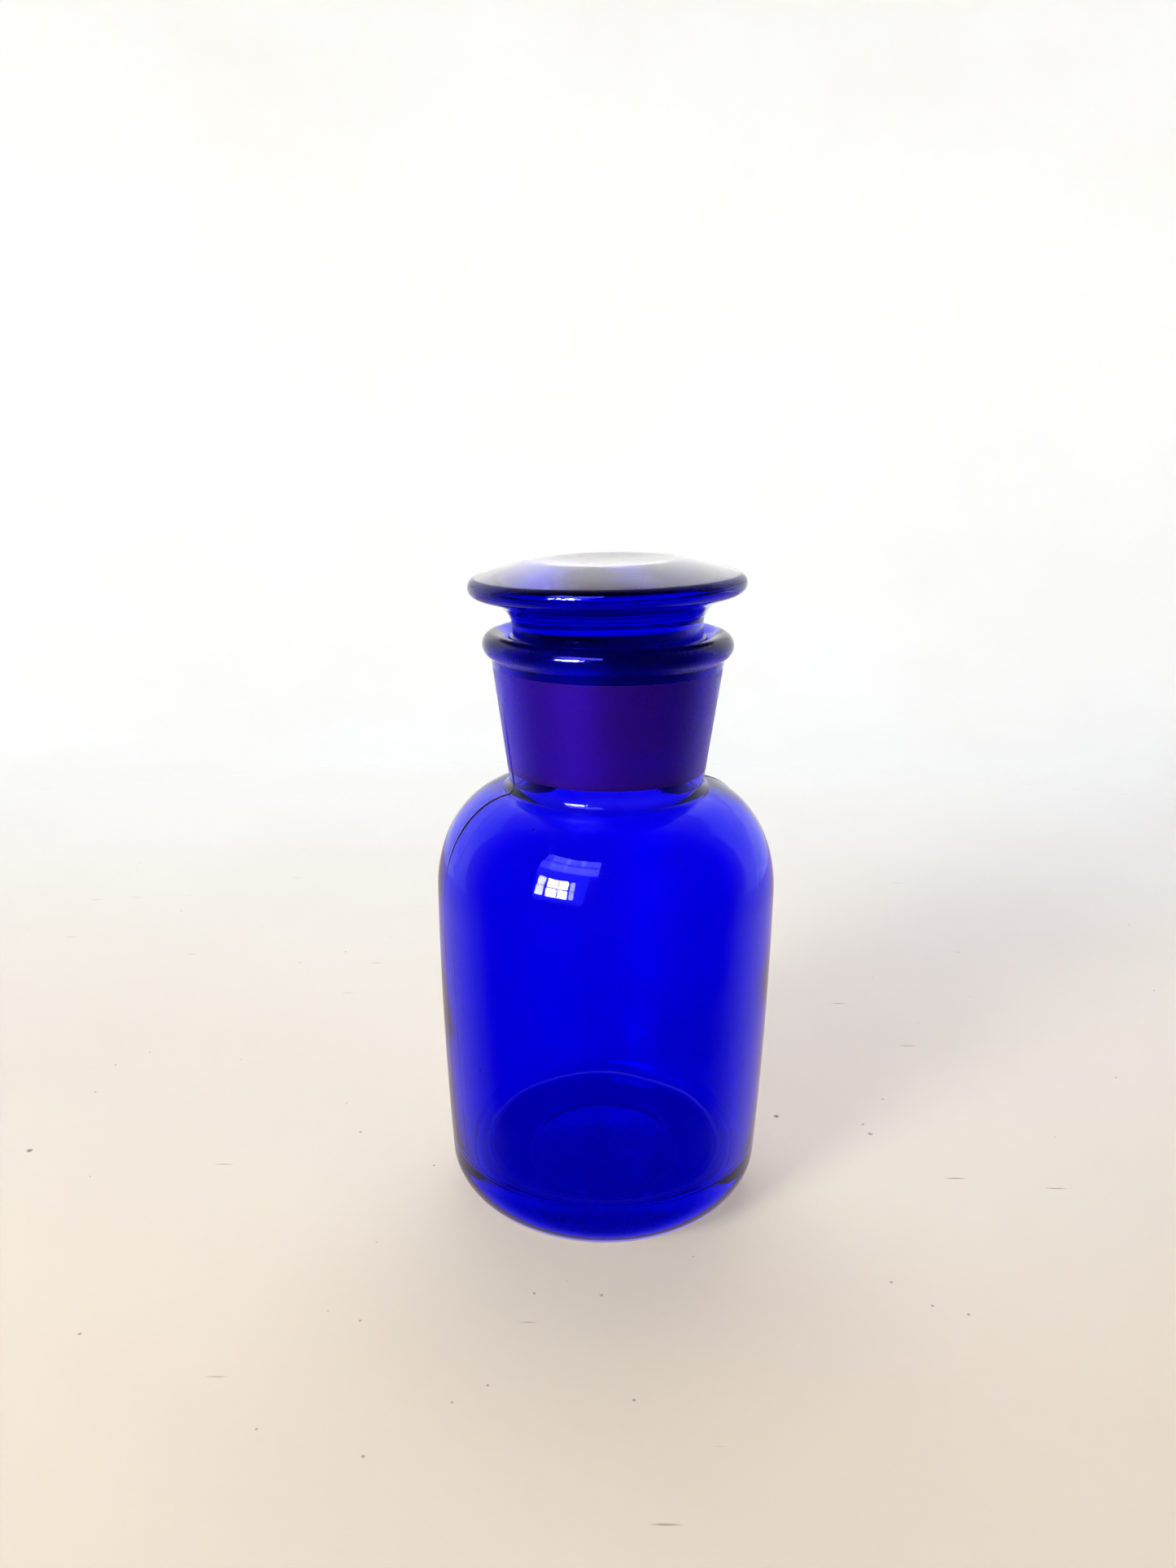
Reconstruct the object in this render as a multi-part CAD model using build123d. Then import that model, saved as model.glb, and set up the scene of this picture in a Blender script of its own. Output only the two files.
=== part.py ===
from build123d import *
from math import cos, radians, sin, tan
import os

# A wide-mouth medicine bottle and its ground-glass stopper, in millimetres.
# The origin is the centre of the base, on the plane that the bottle stands on, and +Z is up.
# Every outline is half a section, with x as the radius and y as the height.

# Bottle, outside
BODY_RADIUS = 29.0            # widest, where the shoulder begins
SHOULDER_HEIGHT = 57.6        # where the wall ends and the shoulder begins
FOOT_RADIUS = 26.85           # the bowed wall carried down to the base plane
HEEL_RADIUS = 9.0             # rounding between the wall and the base
PUNT_RADIUS = 14.5            # hollow under the base, inside the bearing ring
PUNT_DEPTH = 1.8
NECK_FOOT_RADIUS = 16.3       # outside of the neck where it leaves the shoulder
NECK_FOOT_HEIGHT = 75.1
NECK_FILLET = 1.6             # rounding between the shoulder and the neck
LIP_RADIUS = 20.75            # outside of the rolled lip
LIP_ROLL = 2.05               # section radius of the roll
LIP_HEIGHT = 101.35           # top of the lip, the height of the open bottle
LIP_TUCK = 72.0               # degrees that the roll turns under before it meets the neck
LIP_FILLET = 0.7              # rounding in the corner under the lip

# Bottle, inside
WALL = 2.7                    # thickness of the wall and the shoulder
FLOOR_HEIGHT = 8.7            # inner floor at its edge: the base is thick
FLOOR_CROWN = 0.8             # rise of the floor towards the middle
INNER_HEEL_RADIUS = 2.4
THROAT_HEIGHT = 72.8          # where the inside of the shoulder meets the throat
THROAT_FILLET = 1.5

# Ground joint
BORE_TOP_RADIUS = 16.2        # ground bore at its upper edge
BORE_TOP_HEIGHT = 99.9
BORE_FOOT_HEIGHT = 78.5       # lower edge of the ground zone
TAPER = 0.05                  # radius lost for each millimetre down: a 1 in 10 joint
JOINT_CLEARANCE = 0.04        # radial gap between plug and bore

# Stopper
PLUG_TOP_HEIGHT = 100.7       # the ground plug stands a little out of the bore
PLUG_CHAMFER = 0.6
PLUG_HOLLOW_RADIUS = 13.0     # shallow hollow pressed into the plug's lower face
PLUG_HOLLOW_DEPTH = 1.2
STEM_RADIUS = 15.74
STEM_FOOT_HEIGHT = 99.0       # the stem runs this far down inside the plug
DISC_RADIUS = 22.8            # outside of the mushroom head
DISC_HEIGHT = 109.07          # height of the widest line of the rim
RIM_ROLL = 1.65               # section radius of the rim
RIM_TURN = 71.0               # degrees above and below the widest line that the rim turns
UNDERSIDE_SLOPE = 19.3        # degrees that the underside falls towards the stem
STEM_FILLET = 4.3             # sweep from the stem out to the underside
CROWN_RADIUS = 11.7           # soft ridge round the dished middle of the head
CROWN_HEIGHT = 113.1
CROWN_FILLET = 8.0
DOME_RADIUS = 17.0            # a point halfway down the dome
DOME_HEIGHT = 112.0
DISH_HEIGHT = 112.45          # bottom of the dish, on the axis
HEAD_TILT = 1.5               # degrees that the head leans out of square with its plug


def bore_radius(height):
    """Radius of the ground bore at a height."""
    return BORE_TOP_RADIUS - TAPER * (BORE_TOP_HEIGHT - height)


def rim_point(centre, roll, angle):
    """A point on a round of radius roll about centre, at an angle above the horizontal."""
    return (centre[0] + roll * cos(radians(angle)), centre[1] + roll * sin(radians(angle)))


def section(edges, corners):
    """Close a half section and round its named corners, given as (point, radius) pairs."""
    face = make_face(edges)
    for point, radius in corners:
        face = fillet(face.vertices().sort_by_distance(point)[0], radius)
    return face


def turned(face):
    """Turn a half section about the Z axis."""
    return revolve(Plane.XZ * face, Axis.Z)


def rounded_rim(solid, radius, height, size):
    """Round the circular edge of a turned solid that lies at a radius and a height."""
    rims = solid.edges().filter_by(GeomType.CIRCLE)
    return fillet(rims.sort_by_distance((radius, 0, height))[0], size)


def quarter_ellipse(centre_radius, top_height, side_radius):
    """The shoulder's curve, from the wall at SHOULDER_HEIGHT up to centre_radius at top_height."""
    return EllipticalCenterArc(
        center=(centre_radius, SHOULDER_HEIGHT),
        x_radius=side_radius - centre_radius,
        y_radius=top_height - SHOULDER_HEIGHT,
        start_angle=0,
        arc_size=90,
    )


def bottle_outside():
    """The bottle as a solid lump, without its cavity."""
    lip_centre = (LIP_RADIUS - LIP_ROLL, LIP_HEIGHT - LIP_ROLL)
    neck_top = rim_point(lip_centre, LIP_ROLL, -LIP_TUCK)
    neck_foot = (NECK_FOOT_RADIUS, NECK_FOOT_HEIGHT)
    foot = (FOOT_RADIUS, 0)
    lip_crest = (lip_centre[0], LIP_HEIGHT)
    edges = [
        TangentArc((0, PUNT_DEPTH), (PUNT_RADIUS, 0), tangent=(1, 0)),
        Line((PUNT_RADIUS, 0), foot),
        TangentArc((BODY_RADIUS, SHOULDER_HEIGHT), foot, tangent=(0, -1)),
        quarter_ellipse(NECK_FOOT_RADIUS, NECK_FOOT_HEIGHT, BODY_RADIUS),
        Line(neck_foot, neck_top),
        ThreePointArc(neck_top, rim_point(lip_centre, LIP_ROLL, 0), lip_crest),
        TangentArc(lip_crest, (BORE_TOP_RADIUS, BORE_TOP_HEIGHT), tangent=(-1, 0)),
        Line((BORE_TOP_RADIUS, BORE_TOP_HEIGHT), (0, BORE_TOP_HEIGHT)),
        Line((0, BORE_TOP_HEIGHT), (0, PUNT_DEPTH)),
    ]
    lump = turned(section(edges, [(foot, HEEL_RADIUS), (neck_top, LIP_FILLET)]))
    return rounded_rim(lump, NECK_FOOT_RADIUS, NECK_FOOT_HEIGHT, NECK_FILLET)


def bottle_cavity():
    """The space inside the bottle, up to the mouth."""
    inner_radius = BODY_RADIUS - WALL
    inner_foot = (FOOT_RADIUS - WALL, FLOOR_HEIGHT)
    throat = (bore_radius(BORE_FOOT_HEIGHT), THROAT_HEIGHT)
    edges = [
        TangentArc((0, FLOOR_HEIGHT + FLOOR_CROWN), inner_foot, tangent=(1, 0)),
        TangentArc((inner_radius, SHOULDER_HEIGHT), inner_foot, tangent=(0, -1)),
        quarter_ellipse(throat[0], THROAT_HEIGHT, inner_radius),
        Line(throat, (throat[0], BORE_FOOT_HEIGHT)),
        Line((throat[0], BORE_FOOT_HEIGHT), (BORE_TOP_RADIUS, BORE_TOP_HEIGHT)),
        Line((BORE_TOP_RADIUS, BORE_TOP_HEIGHT), (0, BORE_TOP_HEIGHT)),
        Line((0, BORE_TOP_HEIGHT), (0, FLOOR_HEIGHT + FLOOR_CROWN)),
    ]
    space = turned(section(edges, [(inner_foot, INNER_HEEL_RADIUS)]))
    return rounded_rim(space, throat[0], THROAT_HEIGHT, THROAT_FILLET)


def stopper_plug():
    """The ground plug, a close fit in the bore, with a shallow hollow below."""
    foot_radius = bore_radius(BORE_FOOT_HEIGHT) - JOINT_CLEARANCE
    top_radius = bore_radius(PLUG_TOP_HEIGHT) - JOINT_CLEARANCE
    foot = (foot_radius, BORE_FOOT_HEIGHT)
    shoulder = (top_radius, PLUG_TOP_HEIGHT)
    hollow_rim = (PLUG_HOLLOW_RADIUS, BORE_FOOT_HEIGHT)
    hollow_top = (0, BORE_FOOT_HEIGHT + PLUG_HOLLOW_DEPTH)
    edges = [
        TangentArc(hollow_top, hollow_rim, tangent=(1, 0)),
        Line(hollow_rim, foot),
        Line(foot, shoulder),
        Line(shoulder, (0, PLUG_TOP_HEIGHT)),
        Line((0, PLUG_TOP_HEIGHT), hollow_top),
    ]
    return turned(section(edges, [(foot, PLUG_CHAMFER)]))


def stopper_head():
    """The mushroom head and its stem, leaning a little about the plug's upper end."""
    rim_centre = (DISC_RADIUS - RIM_ROLL, DISC_HEIGHT)
    rim_top = rim_point(rim_centre, RIM_ROLL, RIM_TURN)
    rim_foot = rim_point(rim_centre, RIM_ROLL, -RIM_TURN)
    underside_drop = (rim_foot[0] - STEM_RADIUS) * tan(radians(UNDERSIDE_SLOPE))
    stem_top = (STEM_RADIUS, rim_foot[1] - underside_drop)
    crown = (CROWN_RADIUS, CROWN_HEIGHT)
    edges = [
        Line((0, STEM_FOOT_HEIGHT), (STEM_RADIUS, STEM_FOOT_HEIGHT)),
        Line((STEM_RADIUS, STEM_FOOT_HEIGHT), stem_top),
        Line(stem_top, rim_foot),
        ThreePointArc(rim_foot, rim_point(rim_centre, RIM_ROLL, 0), rim_top),
        ThreePointArc(rim_top, (DOME_RADIUS, DOME_HEIGHT), crown),
        TangentArc((0, DISH_HEIGHT), crown, tangent=(1, 0)),
        Line((0, DISH_HEIGHT), (0, STEM_FOOT_HEIGHT)),
    ]
    head = turned(section(edges, [(stem_top, STEM_FILLET), (crown, CROWN_FILLET)]))
    pivot = Pos(0, 0, PLUG_TOP_HEIGHT)
    return pivot * Rot(Y=-HEAD_TILT) * pivot.inverse() * head


def main():
    nodes = {
        "bottle": bottle_outside() - bottle_cavity(),
        "stopper": stopper_plug() + stopper_head(),
    }
    os.makedirs("parts", exist_ok=True)
    for name, solid in nodes.items():
        export_step(solid, f"parts/{name}.step")


main()
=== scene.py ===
from math import atan2, cos, degrees, pi, radians, sin, tan

import bpy
import numpy as np
from bpy.props import FloatProperty, IntProperty, PointerProperty, StringProperty
from bpy.types import Operator, Panel, PropertyGroup
from mathutils import Matrix, Vector


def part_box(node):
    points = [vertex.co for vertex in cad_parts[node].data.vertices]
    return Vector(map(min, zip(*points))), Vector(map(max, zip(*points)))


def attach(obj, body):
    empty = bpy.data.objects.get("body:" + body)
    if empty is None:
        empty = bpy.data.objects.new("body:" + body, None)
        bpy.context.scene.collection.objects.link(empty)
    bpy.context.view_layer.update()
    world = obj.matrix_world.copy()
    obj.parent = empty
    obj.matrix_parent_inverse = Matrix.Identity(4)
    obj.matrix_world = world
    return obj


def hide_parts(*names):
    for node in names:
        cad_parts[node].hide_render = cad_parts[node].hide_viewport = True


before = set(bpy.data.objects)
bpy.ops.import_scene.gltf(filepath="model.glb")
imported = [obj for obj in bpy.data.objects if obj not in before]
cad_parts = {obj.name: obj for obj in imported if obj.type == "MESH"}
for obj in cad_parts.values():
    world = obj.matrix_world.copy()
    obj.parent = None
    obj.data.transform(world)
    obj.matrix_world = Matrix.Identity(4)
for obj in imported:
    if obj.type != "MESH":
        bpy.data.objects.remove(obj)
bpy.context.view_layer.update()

# A cobalt-blue glass medicine bottle with a ground-glass stopper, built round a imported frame.
# Both pieces are turned shapes: a half section, given as (radius, height) points in metres, is swept
# round the Z axis by a Geometry Nodes lathe that also adds the unevenness, mould seams and seeds of
# old glass. The tint is a volume, as in glass that is coloured through, so thick glass is deeper by itself.

bl_info = {
    "name": "Stoppered Medicine Bottle",
    "version": (1, 0, 0),
    "blender": (4, 5, 0),
    "location": "View3D > Sidebar > Bottle",
    "description": "Builds a cobalt-blue medicine bottle, its ground-glass stopper and a pale studio",
    "category": "Add Mesh",
}

BOTTLE_LOW, BOTTLE_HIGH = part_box("bottle")
STOPPER_LOW, STOPPER_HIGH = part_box("stopper")
MM = 0.001


def length(name, description, default):
    """A size in metres that a user may change."""
    return FloatProperty(name=name, description=description, default=default, min=0.0,
                         precision=5, unit="LENGTH", subtype="DISTANCE")


def angle(name, description, default):
    """An angle that a user may change, given in degrees."""
    return FloatProperty(name=name, description=description, default=radians(default),
                         unit="ROTATION", subtype="ANGLE")


def share(name, description, default, top=1.0):
    """A plain number that a user may change."""
    return FloatProperty(name=name, description=description, default=default, min=0.0, max=top, precision=4)


def tint(name, description, default):
    """A colour as an sRGB hex value."""
    return StringProperty(name=name, description=description, default=default)


class BottleSizes(PropertyGroup):
    body_radius: length("Body radius", "Where the shoulder begins", (BOTTLE_HIGH.x - BOTTLE_LOW.x) / 2)
    lip_height: length("Lip height", "Top of the open bottle", BOTTLE_HIGH.z)
    shoulder_height: length("Shoulder height", "Where the wall ends", 57.6 * MM)
    foot_radius: length("Foot radius", "The bowed wall carried down to the base plane", 26.85 * MM)
    heel_radius: length("Heel rounding", "Between the wall and the base", 9.0 * MM)
    punt_radius: length("Punt radius", "Hollow under the base", 14.5 * MM)
    punt_depth: length("Punt depth", "Rise of the hollow under the base", 1.8 * MM)
    neck_radius: length("Neck radius", "Outside of the neck where it leaves the shoulder", 16.3 * MM)
    neck_height: length("Neck height", "Where the neck leaves the shoulder", 75.1 * MM)
    neck_fillet: length("Neck rounding", "Between the shoulder and the neck", 1.6 * MM)
    lip_radius: length("Lip radius", "Outside of the rolled lip", 20.75 * MM)
    lip_roll: length("Lip roll", "Section radius of the rolled lip", 2.05 * MM)
    lip_tuck: angle("Lip tuck", "How far the roll turns under before it meets the neck", 72.0)
    lip_fillet: length("Lip rounding", "In the corner under the lip", 0.7 * MM)
    wall: length("Wall", "Thickness of the wall and the shoulder", 2.7 * MM)
    floor_height: length("Floor height", "Inner floor at its edge", 8.7 * MM)
    floor_crown: length("Floor crown", "Rise of the inner floor towards the middle", 0.8 * MM)
    inner_heel: length("Inner heel rounding", "Between the inner wall and the floor", 2.4 * MM)
    # The pale ring at the floor's edge is a painted highlight, for the light that the inner heel catches.
    painted_ring_width: length("Tide ring", "Width of the pale line that the last of the contents dried to", 1.7 * MM)
    throat_height: length("Throat height", "Where the inside of the shoulder meets the throat", 72.8 * MM)
    throat_fillet: length("Throat rounding", "Between the shoulder and the throat", 1.5 * MM)
    bore_radius: length("Bore radius", "Ground bore at its upper edge", 16.2 * MM)
    bore_top: length("Bore top", "Upper edge of the ground bore", 99.9 * MM)
    bore_foot: length("Bore foot", "Lower edge of the ground bore", STOPPER_LOW.z)
    bore_taper: share("Bore taper", "Radius lost for each unit of depth", 0.05)
    outer_wander: length("Outer unevenness", "How far the moulded skin falls short of true", 0.05 * MM)
    inner_wander: length("Inner unevenness", "How far the blown inner skin wanders", 0.35 * MM)
    seam_height: length("Seam height", "How proud the mould seams stand at the shoulder", 0.14 * MM)


class StopperSizes(PropertyGroup):
    disc_radius: length("Disc radius", "Outside of the mushroom head", (STOPPER_HIGH.y - STOPPER_LOW.y) / 2)
    disc_height: length("Disc height", "Height of the widest line of the rim", 109.07 * MM)
    rim_roll: length("Rim roll", "Section radius of the rim", 1.65 * MM)
    rim_turn: angle("Rim turn", "How far the rim turns above and below its widest line", 71.0)
    underside_slope: angle("Underside slope", "Fall of the underside towards the stem", 19.3)
    stem_radius: length("Stem radius", "Stem between the plug and the head", 15.74 * MM)
    stem_fillet: length("Stem rounding", "Sweep from the stem out to the underside", 4.3 * MM)
    crown_radius: length("Crown radius", "Soft ridge round the dished middle", 11.7 * MM)
    crown_height: length("Crown height", "Top of the ridge before it is rounded", 113.1 * MM)
    crown_fillet: length("Crown rounding", "Rounding of the ridge", 8.0 * MM)
    dome_radius: length("Dome radius", "Radius of a point halfway down the dome", 17.0 * MM)
    dome_height: length("Dome height", "Height of that point", 112.0 * MM)
    dish_height: length("Dish height", "Bottom of the dish, on the axis", 112.45 * MM)
    plug_top: length("Plug top", "Top of the ground plug", 100.7 * MM)
    plug_gap: length("Plug gap", "Radial gap between plug and bore", 0.04 * MM)
    plug_chamfer: length("Plug rounding", "Rounding of the plug's lower edge", 0.6 * MM)
    hollow_radius: length("Hollow radius", "Shallow hollow under the plug", 13.0 * MM)
    hollow_depth: length("Hollow depth", "Depth of that hollow", 1.2 * MM)
    head_tilt: angle("Head tilt", "How far the head leans out of square with its plug", 1.5)
    wander: length("Unevenness", "How far the pressed skin falls short of true", 0.03 * MM)


class GlassLook(PropertyGroup):
    bottle_hue: tint("Bottle tint", "Colour that the bottle's glass lets through", "#4A00FF")
    finish_hue: tint("Finish tint", "The neck and lip hold back a little of the blue too", "#4A00FE")
    stopper_hue: tint("Stopper tint", "The stopper holds back a little of the blue too", "#4A00FE")
    glint_hue: tint("Head-on reflection tint", "What the glass gives back where it is faced squarely",
                    "#4345FF")
    neck_glint_hue: tint("Neck reflection tint", "The tooled neck reflects a redder violet", "#702CFF")
    density: share("Tint density", "How strongly the glass takes the other colours away", 1150.0, 10000.0)
    ior: share("Refraction", "Index of refraction of soda-lime glass", 1.52, 3.0)
    polish: share("Polish", "Roughness of the fire-polished skin", 0.006)
    grind: share("Grind", "Roughness of the ground joint", 0.32)
    scuff: share("Scuffing", "Pale haze on the stopper's worn top", 0.45)
    film: share("Film", "Roughness of the dried film on the inner floor", 0.06)
    # The pale ring's colour is a painted highlight; this much light still passes through it.
    painted_ring: share("Tide clearness", "How much light still passes through the crust of the tide ring", 0.15)
    satin: share("Satin", "Roughness of the tooled neck", 0.30)
    bloom: share("Bloom", "How much of the light the tooled neck's skin scatters", 0.1)
    seam_turn: angle("Seam angle", "Where the mould seams stand, from the front towards the left", 68.0)
    seeds: IntProperty(name="Seeds", description="Trapped air bubbles in the wall", default=46, min=0)
    segments: IntProperty(name="Segments", description="Faces round the turned shapes", default=224, min=16)


class StudioLook(PropertyGroup):
    # Painted shade and light: the board runs from darker and warmer at its front edge to white behind and up
    # the backdrop.
    near_shaded_hue: tint("Near floor", "Painted board at its front edge", "#E6D8C4")
    far_lit_hue: tint("Far floor", "Painted board where it sweeps up behind the bottle", "#FAFFFF")
    window_power: share("Window light", "Radiance of the window that lights the bottle", 26.0, 100.0)
    window_hue: tint("Window tint", "The window's own light is a little warm", "#FFFFE8")
    overhead_power: share("Overhead light", "Radiance of the soft light above and behind", 2.9, 100.0)
    backdrop_power: share("Backdrop light", "Radiance of the light that whitens the backdrop", 0.42, 100.0)
    pane_power: share("Window panes", "Radiance of the panes that polished glass reflects", 760.0, 2000.0)
    sky: share("Sky", "Strength of the soft light from all round", 0.36, 10.0)
    sky_hue: tint("Sky tint", "The light that fills the shadows is a cool violet", "#E6D8FF")
    ceiling: share("Ceiling", "Brightness of the ceiling behind, as polished glass reflects it", 0.64, 10.0)
    room_hue: tint("Room tint", "The walls that polished glass reflects are a little pink", "#FFE8F2")
    room: share("Room", "Brightness of the room that polished glass reflects", 0.05, 10.0)


def linear(hex_value):
    """A '#RRGGBB' sRGB value as a linear RGBA tuple."""
    channels = [int(hex_value[i:i + 2], 16) / 255 for i in (1, 3, 5)]
    return tuple(c / 12.92 if c <= 0.04045 else ((c + 0.055) / 1.055) ** 2.4 for c in channels) + (1.0,)


def node(tree, kind, inputs=None, **settings):
    """Add a node, apply its settings, and fill its inputs with values or with other nodes' outputs.

    A Mix node's sockets share their names, so they go by number: 0 is the factor, 2 and 3 are plain
    numbers, 4 and 5 vectors, and 6 and 7 colours. Its outputs are 0, 1 and 2, in the same order.
    """
    made = tree.nodes.new(kind)
    for name, value in settings.items():
        setattr(made, name, value)
    for key, value in (inputs or {}).items():
        if isinstance(value, bpy.types.NodeSocket):
            tree.links.new(value, made.inputs[key])
        else:
            made.inputs[key].default_value = value
    return made


# ---- Half sections

# Kinds of skin that have a glass of their own, each with the lathe's socket for it.
SKIN_GLASS = {"ground": "Ground Glass", "tooled": "Tooled Glass", "scuffed": "Scuffed Glass",
              "filmed_shaded": "Filmed Shaded Glass", "painted_ring": "Painted Ring Glass", "lip": "Lip Glass"}
SKIN_VALUES = ("wander", "seam", "lean", *SKIN_GLASS)
DENSE = 0.03 * MM             # spacing of a section's points while its corners are rounded
STEP = 1.1 * MM               # longest step between the rows of a finished section
TURN = radians(4.5)           # largest turn between two rows
SEAM_WIDTH = 0.45 * MM        # from the middle of a mould seam to its edge
SEAM_FAINT = 0.12             # how proud a seam stands on the wall, as a share of that on the shoulder
SEED_RADIUS = 0.22 * MM       # of the largest bubbles
BLOWN_WAVE, PRESSED_WAVE = 17 * MM, 14 * MM   # length of the slow waves in blown and in pressed glass
CROWDING = 0.4                # radians by which the lathe's columns shift towards the seams
CRISP = radians(28)           # edges that turn more than this stay sharp
WELD = 1e-7                   # points closer than this become one
SEED_CLOUD = 4000.0           # places for bubbles in a square metre, of which the first few are used


def straight(start, end):
    """Dense points from start to end."""
    start, end = np.array(start), np.array(end)
    count = max(2, int(np.linalg.norm(end - start) / DENSE) + 1)
    return start + np.linspace(0, 1, count)[:, None] * (end - start)


def arc(centre, radii, first, last):
    """Dense points of an arc or elliptical arc, from one angle to another, in radians."""
    radii = np.array(radii) * np.ones(2)
    count = max(8, int(abs(last - first) * radii.max() / DENSE) + 1)
    turn = np.linspace(first, last, count)
    return np.array(centre) + radii * np.c_[np.cos(turn), np.sin(turn)]


def tangent_arc(start, end, heading):
    """Dense points of the arc that leaves start along heading and reaches end."""
    start, end, heading = np.array(start), np.array(end), np.array(heading)
    chord = end - start
    normal = np.array((-heading[1], heading[0]))
    radius = chord @ chord / (2 * (chord @ normal))
    centre = start + radius * normal
    first, last = (atan2(*(p - centre)[::-1]) for p in (start, end))
    sweep = (last - first + pi) % (2 * pi) - pi
    return arc(centre, abs(radius), first, first + sweep)


def arc_through(start, middle, end):
    """Dense points of the arc through three points."""
    (ax, ay), (bx, by), (cx, cy) = start, middle, end
    twice = 2 * (ax * (by - cy) + bx * (cy - ay) + cx * (ay - by))
    a2, b2, c2 = ax * ax + ay * ay, bx * bx + by * by, cx * cx + cy * cy
    centre = np.array(((a2 * (by - cy) + b2 * (cy - ay) + c2 * (ay - by)) / twice,
                       (a2 * (cx - bx) + b2 * (ax - cx) + c2 * (bx - ax)) / twice))
    first, last = (atan2(*(np.array(p) - centre)[::-1]) for p in (start, end))
    sweep = (last - first + pi) % (2 * pi) - pi
    return arc(centre, np.linalg.norm(np.array(start) - centre), first, first + sweep)


def rounded(before, after, radius):
    """Round the corner between two dense stretches. Gives the trimmed stretches and the arc between them."""
    along = np.gradient(before, axis=0)
    along /= np.linalg.norm(along, axis=1)[:, None]
    ahead = after[1] - after[0]
    side = np.sign(along[-1][0] * ahead[1] - along[-1][1] * ahead[0])
    centres = before + side * radius * np.c_[-along[:, 1], along[:, 0]]
    reach = int(4 * radius / DENSE) + 2
    near = np.linalg.norm(centres[-reach:, None] - after[None, :reach], axis=2)
    i = int(np.argmin(abs(near.min(axis=1) - radius)))
    j = int(np.argmin(near[i]))
    i += max(0, len(before) - reach)
    centre = centres[i]
    first, last = (atan2(*(p - centre)[::-1]) for p in (before[i], after[j]))
    sweep = (last - first + pi) % (2 * pi) - pi
    return before[:i + 1], arc(centre, radius, first, first + sweep), after[j:]


def thinned(points):
    """Keep the points of a dense stretch that its curvature needs, and both its ends."""
    steps = np.diff(points, axis=0)
    heading = np.unwrap(np.arctan2(steps[:, 1], steps[:, 0]))
    run = np.linalg.norm(steps, axis=1)
    need = np.maximum(run / STEP, np.abs(np.gradient(heading)) / TURN).cumsum()
    count = max(2, int(np.ceil(need[-1])) + 1)
    picks = np.searchsorted(need, np.linspace(0, need[-1], count)[1:-1])
    return points[[0, *sorted(set(picks + 1) - {0, len(points) - 1}), len(points) - 1]]


def section_object(name, stretches):
    """A polyline object of a half section. A stretch is its points and what its skin is like."""
    rows = {key: [] for key in ("radius_height", *SKIN_VALUES)}
    for points, skin in stretches:
        kept = thinned(points)
        if rows["radius_height"] and np.allclose(rows["radius_height"][-1], kept[0], atol=DENSE):
            kept = kept[1:]
        for radius, height in kept:
            rows["radius_height"].append((radius, height))
            for key in SKIN_VALUES:
                value = skin.get(key, 0.0)
                rows[key].append(value(radius, height) if callable(value) else value)
    places = [(r, 0.0, z) for r, z in rows.pop("radius_height")]
    mesh = bpy.data.meshes.new(name)
    mesh.from_pydata(places, [(i, i + 1) for i in range(len(places) - 1)], [])
    for key, values in rows.items():
        mesh.attributes.new(key, "FLOAT", "POINT").data.foreach_set("value", values)
    made = bpy.data.objects.new(name, mesh)
    bpy.context.scene.collection.objects.link(made)
    return made


def bore_radius(sizes, height):
    """Radius of the ground bore at a height."""
    return sizes.bore_radius - sizes.bore_taper * (sizes.bore_top - height)


def fade(low, high):
    """A skin value that rises smoothly from 0 at one height to 1 at another."""
    def at(_radius, height):
        t = min(1.0, max(0.0, (height - low) / (high - low)))
        return t * t * (3 - 2 * t)
    return at


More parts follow.
